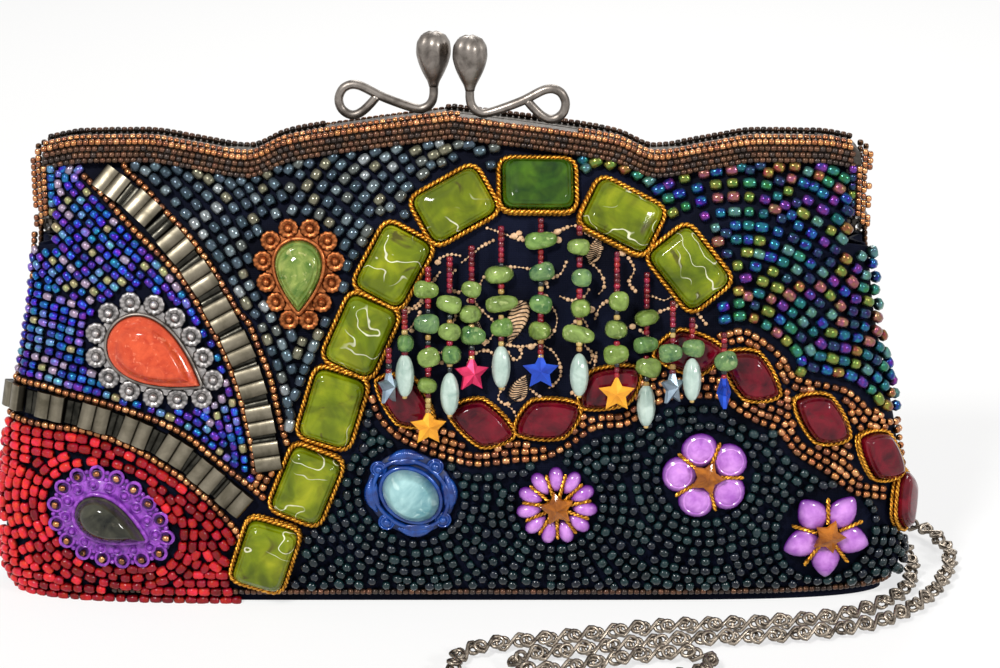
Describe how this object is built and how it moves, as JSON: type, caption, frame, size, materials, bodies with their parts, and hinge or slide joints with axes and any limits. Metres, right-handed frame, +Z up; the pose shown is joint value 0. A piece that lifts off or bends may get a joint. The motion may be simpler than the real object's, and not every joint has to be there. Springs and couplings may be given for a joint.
{
  "type": "beaded evening bag",
  "caption": "Small evening bag on a hinged wavy metal frame with a kiss clasp, its front covered in beads, stones and a hanging glass fringe, with a thin chain strap.",
  "frame": {"origin": "centre of the flat underside, on the surface the bag stands on", "axes": "+X to the right as seen from the front, +Y from the beaded front to the back, +Z up"},
  "size_m": [0.2493, 0.1207, 0.143],
  "materials": {
    "navy_satin": "satin weave under beadwork",
    "black_lining": "matt",
    "aged_gunmetal": "antiqued gunmetal plating",
    "hematite": "polished grey-brown metallic",
    "silver_daisy": "antiqued silver plating",
    "copper_daisy": "antiqued copper plating",
    "violet_enamel": "pearly",
    "blue_enamel": "glossy",
    "coral": "polished, mottled",
    "green_crystal": "polished",
    "black_labradorite": "polished, dark",
    "blue_crystal": "polished",
    "green_glass": "polished, veined",
    "red_glass": "polished, marbled",
    "violet_petal": "pearly",
    "chip_glass": "clear"
  },
  "bodies": {
    "bag": {"front_panel": "navy_satin", "back_panel": "navy_satin", "left_gusset": "navy_satin", "right_gusset": "navy_satin", "base_board": "navy_satin", "lining": "black_lining", "front_bow": "aged_gunmetal", "left_hinge_rivet": "aged_gunmetal", "right_hinge_rivet": "aged_gunmetal", "left_chain_ring": "aged_gunmetal", "right_chain_ring": "aged_gunmetal", "front_clasp": "aged_gunmetal", "chain_strap": "aged_gunmetal", "upper_tube_band": "hematite", "lower_tube_band": "hematite", "coral_setting": "silver_daisy", "green_drop_setting": "copper_daisy", "black_setting": "violet_enamel", "blue_setting": "blue_enamel", "coral_cabochon": "coral", "green_drop_cabochon": "green_crystal", "black_cabochon": "black_labradorite", "blue_cabochon": "blue_crystal", "green_stone_1": "green_glass", "green_stone_2": "green_glass", "green_stone_3": "green_glass", "green_stone_4": "green_glass", "green_stone_5": "green_glass", "green_stone_6": "green_glass", "green_stone_7": "green_glass", "green_stone_8": "green_glass", "green_stone_9": "green_glass", "red_stone_1": "red_glass", "red_stone_2": "red_glass", "red_stone_3": "red_glass", "red_stone_4": "red_glass", "red_stone_5": "red_glass", "red_stone_6": "red_glass", "red_stone_7": "red_glass", "red_stone_8": "red_glass", "red_stone_9": "red_glass", "small_petal_flower": "violet_petal", "round_petal_flower": "violet_petal", "pointed_petal_flower": "violet_petal"},
    "back_frame": {"back_bow": "aged_gunmetal", "back_clasp": "aged_gunmetal", "back_panel_top": "navy_satin"},
    "strand_01": {"fringe_strand_01": "chip_glass"},
    "strand_02": {"fringe_strand_02": "chip_glass"},
    "strand_03": {"fringe_strand_03": "chip_glass"},
    "strand_04": {"fringe_strand_04": "chip_glass"},
    "strand_05": {"fringe_strand_05": "chip_glass"},
    "strand_06": {"fringe_strand_06": "chip_glass"},
    "strand_07": {"fringe_strand_07": "chip_glass"},
    "strand_08": {"fringe_strand_08": "chip_glass"},
    "strand_09": {"fringe_strand_09": "chip_glass"},
    "strand_10": {"fringe_strand_10": "chip_glass"},
    "strand_11": {"fringe_strand_11": "chip_glass"},
    "strand_12": {"fringe_strand_12": "chip_glass"},
    "strand_13": {"fringe_strand_13": "chip_glass"}
  },
  "joints": [
    {"name": "frame_opening", "type": "hinge", "parent": "bag", "child": "back_frame", "pos_m": [0, 0, 0.0954], "axis": [-1, 0, 0], "range_deg": [0, 70], "deforming": ["back_panel_top"]},
    {"name": "strand_01_swing", "type": "hinge", "parent": "bag", "child": "strand_01", "pos_m": [-0.01537, -0.0266, 0.06976], "axis": [-1, 0, 0], "range_deg": [0, 80]},
    {"name": "strand_02_swing", "type": "hinge", "parent": "bag", "child": "strand_02", "pos_m": [-0.01153, -0.02202, 0.07842], "axis": [-1, 0, 0], "range_deg": [0, 80]},
    {"name": "strand_03_swing", "type": "hinge", "parent": "bag", "child": "strand_03", "pos_m": [-0.00576, -0.01908, 0.08836], "axis": [-1, 0, 0], "range_deg": [0, 80]},
    {"name": "strand_04_swing", "type": "hinge", "parent": "bag", "child": "strand_04", "pos_m": [-0.00044, -0.0181, 0.09067], "axis": [-1, 0, 0], "range_deg": [0, 80]},
    {"name": "strand_05_swing", "type": "hinge", "parent": "bag", "child": "strand_05", "pos_m": [0.00496, -0.01646, 0.09298], "axis": [-1, 0, 0], "range_deg": [0, 80]},
    {"name": "strand_06_swing", "type": "hinge", "parent": "bag", "child": "strand_06", "pos_m": [0.01226, -0.01497, 0.0976], "axis": [-1, 0, 0], "range_deg": [0, 80]},
    {"name": "strand_07_swing", "type": "hinge", "parent": "bag", "child": "strand_07", "pos_m": [0.02209, -0.01395, 0.09933], "axis": [-1, 0, 0], "range_deg": [0, 80]},
    {"name": "strand_08_swing", "type": "hinge", "parent": "bag", "child": "strand_08", "pos_m": [0.03158, -0.01645, 0.09817], "axis": [-1, 0, 0], "range_deg": [0, 80]},
    {"name": "strand_09_swing", "type": "hinge", "parent": "bag", "child": "strand_09", "pos_m": [0.04085, -0.01788, 0.09182], "axis": [-1, 0, 0], "range_deg": [0, 80]},
    {"name": "strand_10_swing", "type": "hinge", "parent": "bag", "child": "strand_10", "pos_m": [0.0484, -0.01637, 0.08605], "axis": [-1, 0, 0], "range_deg": [0, 80]},
    {"name": "strand_11_swing", "type": "hinge", "parent": "bag", "child": "strand_11", "pos_m": [0.05447, -0.02348, 0.08085], "axis": [-1, 0, 0], "range_deg": [0, 80]},
    {"name": "strand_12_swing", "type": "hinge", "parent": "bag", "child": "strand_12", "pos_m": [0.05942, -0.02231, 0.07623], "axis": [-1, 0, 0], "range_deg": [0, 80]},
    {"name": "strand_13_swing", "type": "hinge", "parent": "bag", "child": "strand_13", "pos_m": [0.06714, -0.02511, 0.07323], "axis": [-1, 0, 0], "range_deg": [0, 80]}
  ]
}
